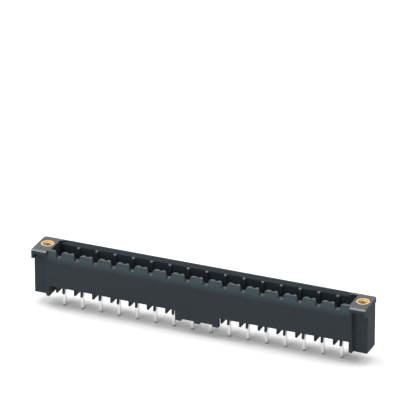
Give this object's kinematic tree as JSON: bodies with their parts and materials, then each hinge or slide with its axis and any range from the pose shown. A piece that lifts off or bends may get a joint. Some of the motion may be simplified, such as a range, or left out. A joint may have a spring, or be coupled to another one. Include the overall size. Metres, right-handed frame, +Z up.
{
  "type": "pcb connector",
  "caption": "Straight pin header for a printed circuit board: an open shrouded trough with a notched front wall, square solder pins and a threaded flange at each end.",
  "frame": {"origin": "middle of the row of pins, on the board's top face, where the stand-offs rest", "axes": "+X along the row to the right seen from the front, -Y the notched front wall, +Z up towards the mating plug"},
  "size_m": [0.0912, 0.0086, 0.0163],
  "materials": {
    "black_moulding": "fine-textured moulded black, slightly glossy",
    "tinned_contact": "bright tin plating",
    "brass_insert": "turned brass"
  },
  "bodies": {
    "root": {"housing": "black_moulding", "contact_pin_01": "tinned_contact", "contact_pin_02": "tinned_contact", "contact_pin_03": "tinned_contact", "contact_pin_04": "tinned_contact", "contact_pin_05": "tinned_contact", "contact_pin_06": "tinned_contact", "contact_pin_07": "tinned_contact", "contact_pin_08": "tinned_contact", "contact_pin_09": "tinned_contact", "contact_pin_10": "tinned_contact", "contact_pin_11": "tinned_contact", "contact_pin_12": "tinned_contact", "contact_pin_13": "tinned_contact", "contact_pin_14": "tinned_contact", "contact_pin_15": "tinned_contact", "contact_pin_16": "tinned_contact", "threaded_insert_left": "brass_insert", "threaded_insert_right": "brass_insert"}
  },
  "joints": []
}
